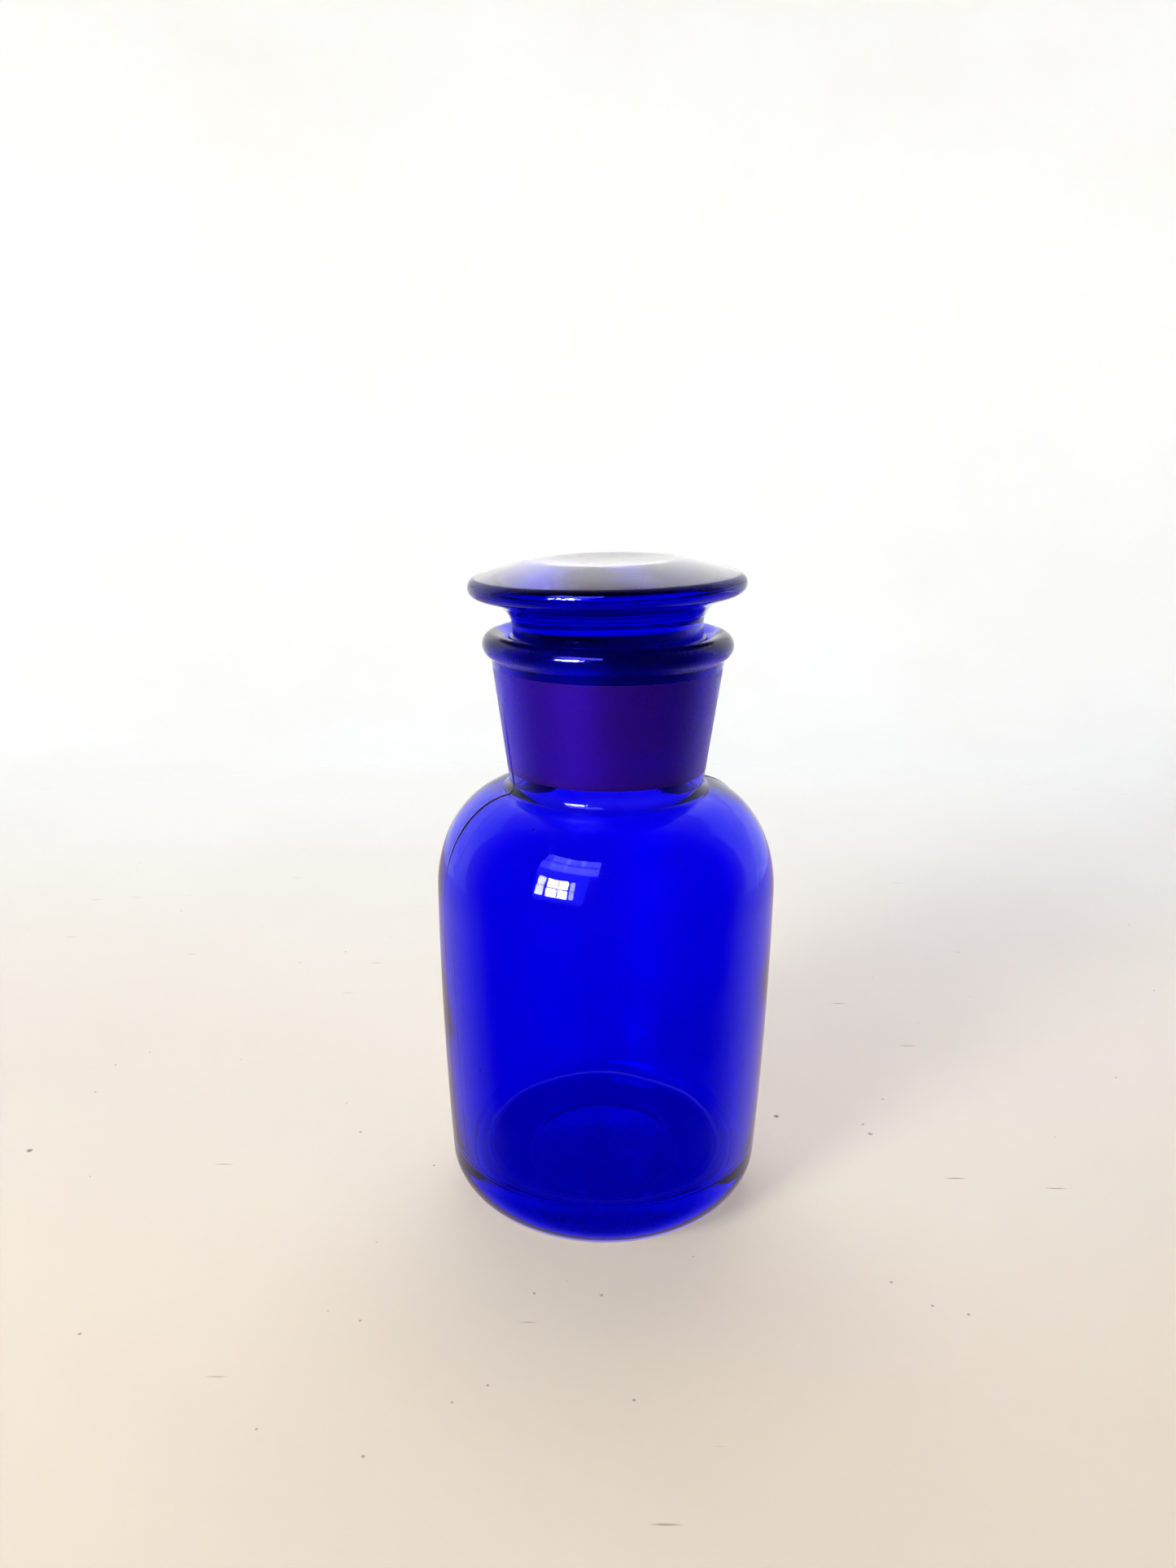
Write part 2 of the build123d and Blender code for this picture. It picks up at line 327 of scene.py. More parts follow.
def bottle_section(s):
    """The bottle's half section: up the inside from the floor, over the lip, and down the outside."""
    quarter = pi / 2
    inner_radius = s.body_radius - s.wall
    throat_radius = bore_radius(s, s.bore_foot)
    lip_centre = (s.lip_radius - s.lip_roll, s.lip_height - s.lip_roll)
    inner_foot = (s.foot_radius - s.wall, s.floor_height)

    floor = tangent_arc((0, s.floor_height + s.floor_crown), inner_foot, (1, 0))
    inner_wall = tangent_arc((inner_radius, s.shoulder_height), inner_foot, (0, -1))[::-1]
    inner_shoulder = arc((throat_radius, s.shoulder_height),
                         (inner_radius - throat_radius, s.throat_height - s.shoulder_height), 0, quarter)
    throat = straight((throat_radius, s.throat_height), (throat_radius, s.bore_foot))
    bore = straight((throat_radius, s.bore_foot), (s.bore_radius, s.bore_top))
    mouth = tangent_arc((lip_centre[0], s.lip_height), (s.bore_radius, s.bore_top), (-1, 0))[::-1]
    roll = arc(lip_centre, s.lip_roll, quarter, -s.lip_tuck)
    neck = straight(roll[-1], (s.neck_radius, s.neck_height))
    shoulder = arc((s.neck_radius, s.shoulder_height),
                   (s.body_radius - s.neck_radius, s.neck_height - s.shoulder_height), quarter, 0)
    wall = tangent_arc((s.body_radius, s.shoulder_height), (s.foot_radius, 0), (0, -1))
    ring = straight((s.foot_radius, 0), (s.punt_radius, 0))
    punt = tangent_arc((0, s.punt_depth), (s.punt_radius, 0), (1, 0))[::-1]

    floor, inner_heel, inner_wall = rounded(floor, inner_wall, s.inner_heel)
    inner_shoulder, throat_round, throat = rounded(inner_shoulder, throat, s.throat_fillet)
    roll, lip_round, neck = rounded(roll, neck, s.lip_fillet)
    neck, neck_round, shoulder = rounded(neck, shoulder, s.neck_fillet)
    wall, heel, ring = rounded(wall, ring, s.heel_radius)

    blown = {"wander": s.inner_wander}
    eased = fade(s.bore_foot, s.throat_height)
    throat_skin = {"wander": lambda r, z: s.inner_wander * eased(r, z)}
    # The seams are faint on the wall, stand proud over the shoulder and die out up the neck.
    seam_up = fade(s.shoulder_height + 4 * MM, s.shoulder_height + 14 * MM)
    seam_off = fade(s.lip_height - 8 * MM, s.neck_height + 6 * MM)
    moulded = {"wander": s.outer_wander,
               "seam": lambda r, z: (s.seam_height * seam_off(r, z)
                                     * (SEAM_FAINT + (1 - SEAM_FAINT) * seam_up(r, z)))}
    # Inside the ring the floor has a film whose tint is painted shade; the pale ring round it is a painted
    # highlight.
    inside_ring = floor[:, 0] <= inner_heel[0, 0] - s.painted_ring_width
    return [
        (floor[inside_ring], {**blown, "filmed_shaded": 1.0}), (floor[~inside_ring], {**blown, "painted_ring": 1.0}),
        (inner_heel, blown), (inner_wall, blown), (inner_shoulder, blown),
        (throat_round, throat_skin), (throat, throat_skin),
        (bore, {"ground": 1.0}), (mouth, {"lip": 1.0}), (roll, {"lip": 1.0}), (lip_round, {"lip": 1.0}),
        (neck[neck[:, 1] >= s.bore_foot], {**moulded, "tooled": 1.0}),
        (neck[neck[:, 1] <= s.bore_foot], moulded),
        (neck_round, moulded), (shoulder, moulded), (wall, moulded),
        (heel, {}), (ring, {}), (punt, {"tooled": 1.0}),
    ]


def stopper_section(s, b):
    """The stopper's half section: from the dish out over the head, and down the stem and the plug."""
    quarter = pi / 2
    rim_centre = (s.disc_radius - s.rim_roll, s.disc_height)
    rim = arc(rim_centre, s.rim_roll, s.rim_turn, -s.rim_turn)
    stem_top = (s.stem_radius, rim[-1][1] - (rim[-1][0] - s.stem_radius) * tan(s.underside_slope))
    crown = (s.crown_radius, s.crown_height)
    plug_foot = (bore_radius(b, b.bore_foot) - s.plug_gap, b.bore_foot)
    plug_head = (bore_radius(b, s.plug_top) - s.plug_gap, s.plug_top)

    dish = tangent_arc((0, s.dish_height), crown, (1, 0))
    dome = arc_through(crown, (s.dome_radius, s.dome_height), rim[0])
    underside = straight(rim[-1], stem_top)
    stem = straight(stem_top, (s.stem_radius, s.plug_top))
    ledge = straight((s.stem_radius, s.plug_top), plug_head)
    flank = straight(plug_head, plug_foot)
    foot = straight(plug_foot, (s.hollow_radius, b.bore_foot))
    hollow = tangent_arc((0, b.bore_foot + s.hollow_depth), (s.hollow_radius, b.bore_foot), (1, 0))[::-1]

    dish, crown_round, dome = rounded(dish, dome, s.crown_fillet)
    underside, stem_round, stem = rounded(underside, stem, s.stem_fillet)
    flank, foot_round, foot = rounded(flank, foot, s.plug_chamfer)

    head = {"wander": s.wander, "lean": 1.0}
    top = {**head, "scuffed": 1.0}
    # The stem bends into the head's lean over its lowest 2.5 mm.
    stem_skin = {"lean": fade(s.plug_top, s.plug_top + 2.5 * MM)}
    ground = {"ground": 1.0}
    return [
        (dish, top), (crown_round, top), (dome, top), (rim, head), (underside, head), (stem_round, head),
        (stem, stem_skin), (ledge, ground), (flank, ground), (foot_round, ground), (foot, {}), (hollow, {}),
    ]


# ---- The lathe

def lathe_tree():
    """A node tree that turns a half section about Z and gives the glass its unevenness, seams and seeds."""
    tree = bpy.data.node_groups.new("Glass Lathe", "GeometryNodeTree")
    sockets = [("Geometry", "Geometry", None), ("Segments", "Int", 128), ("Seam Turn", "Float", 0.0),
               ("Seam Width", "Float", 0.0005), ("Wander Size", "Float", 0.02), ("Lean", "Float", 0.0),
               ("Lean Height", "Float", 0.0), ("Seed Count", "Int", 0), ("Seed Radius", "Float", 0.0002),
               ("Seed Depth", "Float", 0.001), ("Random Seed", "Int", 1), ("Clear Glass", "Material", None)]
    sockets += [(name, "Material", None) for name in SKIN_GLASS.values()]
    for name, kind, default in sockets:
        made = tree.interface.new_socket(name, in_out="INPUT", socket_type="NodeSocket" + kind)
        if default is not None:
            made.default_value = default
    tree.interface.new_socket("Geometry", in_out="OUTPUT", socket_type="NodeSocketGeometry")
    given = node(tree, "NodeGroupInput").outputs
    section = given["Geometry"]

    # A grid with one row for each point of the section and one column for each step round it.
    rows = node(tree, "GeometryNodeAttributeDomainSize", {"Geometry": section}, component="MESH")
    columns = node(tree, "ShaderNodeMath", {0: given["Segments"], 1: 1.0}, operation="ADD").outputs[0]
    grid = node(tree, "GeometryNodeMeshGrid", {"Vertices X": rows.outputs["Point Count"],
                                               "Vertices Y": columns}).outputs["Mesh"]
    index = node(tree, "GeometryNodeInputIndex").outputs[0]
    over = node(tree, "ShaderNodeMath", {0: index, 1: columns}, operation="DIVIDE").outputs[0]
    row = node(tree, "ShaderNodeMath", {0: over}, operation="FLOOR").outputs[0]
    column = node(tree, "ShaderNodeMath", {0: index, 1: columns}, operation="MODULO").outputs[0]
    even = node(tree, "ShaderNodeMath", {0: column, 1: given["Segments"]}, operation="DIVIDE").outputs[0]
    even = node(tree, "ShaderNodeMath", {0: even, 1: 2 * pi}, operation="MULTIPLY").outputs[0]
    # Columns crowd towards the two mould seams, so that a fine ridge gets enough of them.
    past = node(tree, "ShaderNodeMath", {0: even, 1: given["Seam Turn"]}, operation="SUBTRACT").outputs[0]
    wave = node(tree, "ShaderNodeMath", {0: past, 1: 2.0}, operation="MULTIPLY").outputs[0]
    wave = node(tree, "ShaderNodeMath", {0: wave}, operation="SINE").outputs[0]
    turn = node(tree, "ShaderNodeMath", {0: wave, 1: -CROWDING, 2: even}, operation="MULTIPLY_ADD").outputs[0]

    place = node(tree, "GeometryNodeInputPosition").outputs[0]
    point = node(tree, "GeometryNodeSampleIndex", {"Geometry": section, "Value": place, "Index": row},
                 data_type="FLOAT_VECTOR", domain="POINT").outputs[0]
    point = node(tree, "ShaderNodeSeparateXYZ", {0: point}).outputs
    cosine = node(tree, "ShaderNodeMath", {0: turn}, operation="COSINE").outputs[0]
    sine = node(tree, "ShaderNodeMath", {0: turn}, operation="SINE").outputs[0]
    x = node(tree, "ShaderNodeMath", {0: point["X"], 1: cosine}, operation="MULTIPLY").outputs[0]
    y = node(tree, "ShaderNodeMath", {0: point["X"], 1: sine}, operation="MULTIPLY").outputs[0]
    spot = node(tree, "ShaderNodeCombineXYZ", {"X": x, "Y": y, "Z": point["Z"]}).outputs[0]
    shape = node(tree, "GeometryNodeSetPosition", {"Geometry": grid, "Position": spot}).outputs[0]
    kept = {}
    for key in SKIN_VALUES:
        value = node(tree, "GeometryNodeInputNamedAttribute", {"Name": key}, data_type="FLOAT").outputs[0]
        value = node(tree, "GeometryNodeSampleIndex", {"Geometry": section, "Value": value, "Index": row},
                     data_type="FLOAT", domain="POINT").outputs[0]
        shape = node(tree, "GeometryNodeStoreNamedAttribute",
                     {"Geometry": shape, "Name": key, "Value": value},
                     data_type="FLOAT", domain="POINT").outputs[0]
        kept[key] = node(tree, "GeometryNodeInputNamedAttribute", {"Name": key}, data_type="FLOAT").outputs[0]
    shape = node(tree, "GeometryNodeMergeByDistance", {"Geometry": shape, "Distance": WELD}).outputs[0]

    # The skin falls a little short of the true shape, by a slow noise.
    facing = node(tree, "GeometryNodeInputNormal").outputs[0]
    scale = node(tree, "ShaderNodeMath", {0: 1.0, 1: given["Wander Size"]}, operation="DIVIDE").outputs[0]
    noise = node(tree, "ShaderNodeTexNoise", {"Vector": place, "W": given["Random Seed"], "Scale": scale,
                                              "Detail": 1.0}, noise_dimensions="4D").outputs["Fac"]
    fall = node(tree, "ShaderNodeMath", {0: noise, 1: kept["wander"]}, operation="MULTIPLY").outputs[0]
    # Two opposite mould seams: low ridges on the plane through the axis at the seam angle.
    across_x = node(tree, "ShaderNodeMath", {0: given["Seam Turn"]}, operation="SINE").outputs[0]
    across_y = node(tree, "ShaderNodeMath", {0: given["Seam Turn"]}, operation="COSINE").outputs[0]
    across_y = node(tree, "ShaderNodeMath", {0: across_y, 1: -1.0}, operation="MULTIPLY").outputs[0]
    across = node(tree, "ShaderNodeCombineXYZ", {"X": across_x, "Y": across_y}).outputs[0]
    away = node(tree, "ShaderNodeVectorMath", {0: place, 1: across}, operation="DOT_PRODUCT").outputs["Value"]
    away = node(tree, "ShaderNodeMath", {0: away}, operation="ABSOLUTE").outputs[0]
    ridge = node(tree, "ShaderNodeMapRange", {"Value": away, "From Min": 0.0, "From Max": given["Seam Width"],
                                              "To Min": 1.0, "To Max": 0.0},
                 interpolation_type="SMOOTHSTEP").outputs[0]
    rise = node(tree, "ShaderNodeMath", {0: ridge, 1: kept["seam"]}, operation="MULTIPLY").outputs[0]
    rise = node(tree, "ShaderNodeMath", {0: rise, 1: fall}, operation="SUBTRACT").outputs[0]
    push = node(tree, "ShaderNodeVectorMath", {0: facing, "Scale": rise}, operation="SCALE").outputs[0]
    shape = node(tree, "GeometryNodeSetPosition", {"Geometry": shape, "Offset": push}).outputs[0]

    # The head leans about a point on the axis.
    pivot = node(tree, "ShaderNodeCombineXYZ", {"Z": given["Lean Height"]}).outputs[0]
    leaned = node(tree, "ShaderNodeVectorRotate", {"Vector": place, "Center": pivot, "Angle": given["Lean"]},
                  rotation_type="Y_AXIS").outputs[0]
    leaned = node(tree, "ShaderNodeMix", {0: kept["lean"], 4: place, 5: leaned},
                  data_type="VECTOR").outputs[1]
    shape = node(tree, "GeometryNodeSetPosition", {"Geometry": shape, "Position": leaned}).outputs[0]

    edge = node(tree, "GeometryNodeInputMeshEdgeAngle").outputs["Unsigned Angle"]
    crisp = node(tree, "FunctionNodeCompare", {0: edge, 1: CRISP}, operation="GREATER_THAN").outputs[0]
    shape = node(tree, "GeometryNodeStoreNamedAttribute", {"Geometry": shape, "Name": "sharp_edge",
                                                           "Value": crisp},
                 data_type="BOOLEAN", domain="EDGE").outputs[0]
    shape = node(tree, "GeometryNodeSetMaterial", {"Geometry": shape,
                                                   "Material": given["Clear Glass"]}).outputs[0]
    for key, glass in SKIN_GLASS.items():
        whole_face = node(tree, "FunctionNodeCompare", {0: kept[key], 1: 0.6},
                          operation="GREATER_THAN").outputs[0]
        shape = node(tree, "GeometryNodeSetMaterial", {"Geometry": shape, "Selection": whole_face,
                                                       "Material": given[glass]}).outputs[0]

    # Seeds: small air bubbles under the outer skin, with their faces towards the air inside them.
    outer = node(tree, "FunctionNodeCompare", {0: kept["seam"], 1: 0.0}, operation="GREATER_THAN").outputs[0]
    cloud = node(tree, "GeometryNodeDistributePointsOnFaces",
                 {"Mesh": shape, "Selection": outer, "Density": SEED_CLOUD,
                  "Seed": given["Random Seed"]}).outputs
    spare = node(tree, "FunctionNodeCompare", {0: index, 1: given["Seed Count"]},
                 operation="GREATER_EQUAL").outputs[0]
    points = node(tree, "GeometryNodeDeleteGeometry", {"Geometry": cloud["Points"], "Selection": spare},
                  domain="POINT").outputs[0]
    sink = node(tree, "ShaderNodeMath", {0: given["Seed Depth"], 1: -1.0}, operation="MULTIPLY").outputs[0]
    sink = node(tree, "ShaderNodeVectorMath", {0: cloud["Normal"], "Scale": sink},
                operation="SCALE").outputs[0]
    points = node(tree, "GeometryNodeSetPosition", {"Geometry": points, "Offset": sink}).outputs[0]
    bubble = node(tree, "GeometryNodeMeshIcoSphere", {"Radius": given["Seed Radius"], "Subdivisions": 3})
    bubble = node(tree, "GeometryNodeFlipFaces", {"Mesh": bubble.outputs["Mesh"]}).outputs[0]
    spread = node(tree, "FunctionNodeRandomValue", {2: 0.25, 3: 1.0, "Seed": given["Random Seed"]}).outputs[1]
    seeds = node(tree, "GeometryNodeInstanceOnPoints", {"Points": points, "Instance": bubble,
                                                        "Scale": spread}).outputs[0]
    seeds = node(tree, "GeometryNodeRealizeInstances", {"Geometry": seeds}).outputs[0]
    seeds = node(tree, "GeometryNodeSetMaterial", {"Geometry": seeds,
                                                   "Material": given["Clear Glass"]}).outputs[0]
    whole = node(tree, "GeometryNodeJoinGeometry")
    tree.links.new(seeds, whole.inputs[0])
    tree.links.new(shape, whole.inputs[0])
    done = whole.outputs[0]
    for key in kept:
        done = node(tree, "GeometryNodeRemoveAttribute", {"Geometry": done, "Name": key}).outputs[0]
    done = node(tree, "GeometryNodeSetShadeSmooth", {"Geometry": done}).outputs[0]
    node(tree, "NodeGroupOutput", {"Geometry": done})
    return tree


def turned_piece(name, section, values):
    """Run the lathe on a half section and keep its result as a plain mesh object at the origin."""
    tree = bpy.data.node_groups.get("Glass Lathe") or lathe_tree()
    modifier = section.modifiers.new("lathe", "NODES")
    modifier.node_group = tree
    ids = {i.name: i.identifier for i in tree.interface.items_tree if i.in_out == "INPUT"}
    for key, value in values.items():
        modifier[ids[key]] = value
    graph = bpy.context.evaluated_depsgraph_get()
    mesh = bpy.data.meshes.new_from_object(section.evaluated_get(graph), depsgraph=graph)
    mesh.name = name
    section.modifiers.remove(modifier)
    bpy.data.objects.remove(section)
    made = bpy.data.objects.new(name, mesh)
    # Bounced light passes the glass by, so the board isn't turned an even blue. A shadow is still cast.
    made.visible_diffuse = False
    bpy.context.scene.collection.objects.link(made)
    return made


# ---- Materials

def glass_shader(tree, look, batch, inputs):
    """A glass surface over a volume that takes the missing colours of a batch's tint out with depth."""
    surface = node(tree, "ShaderNodeBsdfPrincipled",
                   {"IOR": look.ior, "Transmission Weight": 1.0,
                    "Specular Tint": linear(look.glint_hue), **inputs})
    # Cobalt oxide takes red and green out within a millimetre or two and lets blue through.
    volume = node(tree, "ShaderNodeVolumeAbsorption", {"Color": linear(getattr(look, batch + "_hue")),
                                                        "Density": look.density})
    node(tree, "ShaderNodeOutputMaterial", {"Surface": surface.outputs[0], "Volume": volume.outputs[0]})


def new_material(name):
    """An empty node material, its tree, and the place on the piece as its patterns read it."""
    made = bpy.data.materials.new(name)
    made.use_nodes = True
    made.node_tree.nodes.clear()
    return made, made.node_tree, node(made.node_tree, "ShaderNodeTexCoord").outputs["Object"]


def fire_polished_glass(look, batch):
    """Soda-lime glass, moulded and fire-polished: a wet-looking, slightly wavy skin with faint smudges."""
    made, tree, place = new_material("cobalt_glass_fire_polished_" + batch)
    # Waves a centimetre or so long, left as the skin chilled against the mould: they bend reflections.
    waves = node(tree, "ShaderNodeTexNoise", {"Vector": place, "Scale": 1 / (11 * MM), "Detail": 1.5})
    orange_peel = node(tree, "ShaderNodeTexNoise", {"Vector": place, "Scale": 1 / (1.6 * MM), "Detail": 2.0})
    bump = node(tree, "ShaderNodeBump", {"Height": waves.outputs["Fac"], "Strength": 1.0,
                                         "Distance": 0.05 * MM})
    bump = node(tree, "ShaderNodeBump", {"Height": orange_peel.outputs["Fac"], "Normal": bump.outputs[0],
                                         "Strength": 1.0, "Distance": 0.002 * MM})
    # Smudges from handling, a couple of centimetres across, dull the polish a little.
    smudge = node(tree, "ShaderNodeTexNoise", {"Vector": place, "Scale": 1 / (18 * MM), "Detail": 5.0,
                                               "Roughness": 0.6})
    dull = node(tree, "ShaderNodeMapRange", {"Value": smudge.outputs["Fac"],
                                             "From Min": 0.45, "From Max": 0.8,
                                             "To Min": look.polish, "To Max": look.polish + 0.02})
    film = node(tree, "ShaderNodeMix", {0: smudge.outputs["Fac"], 6: linear("#FFFFFF"), 7: linear("#F3F1F8")},
                data_type="RGBA")
    glass_shader(tree, look, batch, {"Base Color": film.outputs[2],
                                     "Roughness": dull.outputs[0], "Normal": bump.outputs[0]})
    return made


def ground_glass(look, batch):
    """The same glass ground with wet emery: a frosted grain with faint rings left by the turning plug."""
    made, tree, place = new_material("cobalt_glass_ground_" + batch)
    # The grit is about 0.1 mm, too fine to show, so the grain is drawn at 0.4 mm.
    grain = node(tree, "ShaderNodeTexNoise", {"Vector": place, "Scale": 1 / (0.4 * MM), "Detail": 3.0})
    # Rings from grinding lie round the axis, about 6 mm apart and uneven.
    rings = node(tree, "ShaderNodeTexWave", {"Vector": place, "Scale": 0.05 / MM, "Distortion": 2.0,
                                             "Detail": 3.0, "Detail Scale": 2.0}, bands_direction="Z")
    height = node(tree, "ShaderNodeMix", {0: 0.3, 2: grain.outputs["Fac"], 3: rings.outputs["Fac"]})
    bump = node(tree, "ShaderNodeBump", {"Height": height.outputs[0], "Strength": 1.0, "Distance": 0.06 * MM})
    rough = node(tree, "ShaderNodeMapRange", {"Value": grain.outputs["Fac"], "From Min": 0.3, "From Max": 0.7,
                                              "To Min": look.grind - 0.06, "To Max": look.grind + 0.1})
    powder = node(tree, "ShaderNodeMix", {0: grain.outputs["Fac"], 6: linear("#FFFFFF"),
                                          7: linear("#EDE6FF")}, data_type="RGBA")
    glass_shader(tree, look, batch, {"Base Color": powder.outputs[2],
                                     "Roughness": rough.outputs[0], "Normal": bump.outputs[0]})
    return made


def tooled_glass(look):
    """Glass reheated and squeezed in a neck tool: a satin skin, with a very fine orange-peel grain."""
    made, tree, place = new_material("cobalt_glass_tooled")
    # The grain is about 0.05 mm, too fine to show, so it is drawn at 0.25 mm.
    grain = node(tree, "ShaderNodeTexNoise", {"Vector": place, "Scale": 1 / (0.25 * MM), "Detail": 2.0})
    drag = node(tree, "ShaderNodeTexNoise", {"Vector": place, "Scale": 1 / (7 * MM), "Detail": 2.0})
    bump = node(tree, "ShaderNodeBump", {"Height": drag.outputs["Fac"], "Strength": 1.0,
                                         "Distance": 0.05 * MM})
    bump = node(tree, "ShaderNodeBump", {"Height": grain.outputs["Fac"], "Normal": bump.outputs[0],
                                         "Strength": 1.0, "Distance": 0.006 * MM})
    rough = node(tree, "ShaderNodeMapRange", {"Value": grain.outputs["Fac"], "From Min": 0.3, "From Max": 0.7,
                                              "To Min": look.satin - 0.05, "To Max": look.satin + 0.08})
    # Reheating leaves a faint violet bloom in the skin, which scatters a little of the light.
    bloom = node(tree, "ShaderNodeMix", {0: grain.outputs["Fac"], 6: linear("#6A24FF"), 7: linear("#5214F0")},
                 data_type="RGBA")
    glass_shader(tree, look, "finish", {
        "Base Color": bloom.outputs[2], "Transmission Weight": 1.0 - look.bloom,
        "Roughness": rough.outputs[0], "Specular Tint": linear(look.neck_glint_hue),
        "Normal": bump.outputs[0]})
    return made


def filmed_shaded_glass(look):
    """Polished glass under a dull film that old contents dried to; its tint is painted shade, darkening the
    floor.
    """
    made, tree, place = new_material("cobalt_glass_filmed_shaded")
    # The film is patchy: islands of about 4 mm with a finer crust between them.
    patches = node(tree, "ShaderNodeTexNoise", {"Vector": place, "Scale": 1 / (4 * MM), "Detail": 4.0,
                                                "Roughness": 0.6}).outputs["Fac"]
    bump = node(tree, "ShaderNodeBump", {"Height": patches, "Strength": 1.0, "Distance": 0.05 * MM})
    rough = node(tree, "ShaderNodeMapRange", {"Value": patches, "From Min": 0.3, "From Max": 0.7,
                                              "To Min": look.film - 0.03, "To Max": look.film + 0.04})
    # Painted shade: the film's grey-violet tint darkens the floor as the shadow under the base would.
    film = node(tree, "ShaderNodeMix", {0: patches, 6: linear("#E8E6F6"), 7: linear("#CCCAE6")},
                data_type="RGBA")
    glass_shader(tree, look, "bottle", {"Base Color": film.outputs[2],
                                        "Roughness": rough.outputs[0], "Normal": bump.outputs[0]})
    return made


def painted_ring_glass(look):
    """Polished glass with a pale ring painted on it as a highlight: the bright line that the inner heel
    catches.
    """
    made, tree, place = new_material("cobalt_glass_painted_ring")
    # The painted ring breaks up into grains of about 0.5 mm.
    ring_grain = node(tree, "ShaderNodeTexNoise", {"Vector": place, "Scale": 1 / (0.5 * MM),
                                              "Detail": 2.0}).outputs["Fac"]
    bump = node(tree, "ShaderNodeBump", {"Height": ring_grain, "Strength": 1.0, "Distance": 0.02 * MM})
    # The painted highlight is paler at the back and darker towards the front.
    depth = node(tree, "ShaderNodeSeparateXYZ", {0: place}).outputs["Y"]
    back_brightening = node(tree, "ShaderNodeMapRange", {"Value": depth, "From Min": -16 * MM,
                                              "From Max": 8 * MM}).outputs[0]
    ring_grain = node(tree, "ShaderNodeMath", {0: ring_grain, 1: 0.3, 2: back_brightening}, operation="MULTIPLY_ADD").outputs[0]
    # Painted highlight: the ring's pale colour stands in for the light caught by the inner heel.
    ring_highlight = node(tree, "ShaderNodeMix", {0: ring_grain, 6: linear("#5A5AC0"), 7: linear("#DCE2FF")},
                data_type="RGBA")
    glass_shader(tree, look, "bottle", {"Base Color": ring_highlight.outputs[2], "Transmission Weight": look.painted_ring,
                                        "Roughness": 0.5, "Normal": bump.outputs[0]})
    return made


def scuffed_glass(look):
    """Pressed glass scuffed by years of handling: faint circular streaks and a pale haze at low angles."""
    made, tree, place = new_material("cobalt_glass_scuffed")
    # Streaks follow circles round the axis: a noise read along the radius, which drifts a little, and height.
    parts = node(tree, "ShaderNodeSeparateXYZ", {0: place}).outputs
    across = node(tree, "ShaderNodeCombineXYZ", {"X": parts["X"], "Y": parts["Y"]}).outputs[0]
    radius = node(tree, "ShaderNodeVectorMath", {0: across}, operation="LENGTH").outputs["Value"]
    drift = node(tree, "ShaderNodeTexNoise", {"Vector": place, "Scale": 1 / (9 * MM),
                                              "Detail": 1.0}).outputs["Fac"]
    drift = node(tree, "ShaderNodeMath", {0: drift, 1: 2.5 * MM, 2: radius},
                 operation="MULTIPLY_ADD").outputs[0]
    ring = node(tree, "ShaderNodeCombineXYZ", {"X": drift, "Y": parts["Z"]}).outputs[0]
    streaks = node(tree, "ShaderNodeTexNoise", {"Vector": ring, "Scale": 1 / (1.3 * MM), "Detail": 3.0})
    bump = node(tree, "ShaderNodeBump", {"Height": streaks.outputs["Fac"], "Strength": 1.0,
                                         "Distance": 0.035 * MM})
    rough = node(tree, "ShaderNodeMapRange", {"Value": streaks.outputs["Fac"],
                                              "From Min": 0.4, "From Max": 0.7,
                                              "To Min": look.polish + 0.06, "To Max": look.polish + 0.18})
    film = node(tree, "ShaderNodeMix", {0: streaks.outputs["Fac"], 6: linear("#FFFFFF"),
                                        7: linear("#EFEBFA")}, data_type="RGBA")
    glass_shader(tree, look, "stopper", {
        "Base Color": film.outputs[2], "Roughness": rough.outputs[0], "Sheen Weight": look.scuff,
        "Sheen Roughness": 0.35, "Sheen Tint": linear("#F3F1F8"), "Coat Weight": 0.9,
        "Coat Roughness": 0.16, "Coat IOR": 1.6, "Normal": bump.outputs[0]})
    return made


PAINTED_LIGHT_RAMP = {"Y": (-0.16, 0.30), "Z": (0.0, 0.10)}   # painted light: the board's colour whitens between these depths or heights
USED = (0.05, 0.22)                                 # marks of use thin out between these depths
# Marks of use: a Voronoi scale, the radii where a mark starts and stops fading, the share of cells without
# one, its colour, and whether it is drawn out along X. Grit is about 1 mm across, fine dust 0.5 mm, and a
# hairline scratch 3 mm long.
BOARD_MARKS = ((55.0, 0.015, 0.040, 0.80, "#8A8078", False), (190.0, 0.03, 0.07, 0.84, "#A79C94", False),
               (34.0, 0.03, 0.08, 0.80, "#B0A298", True))


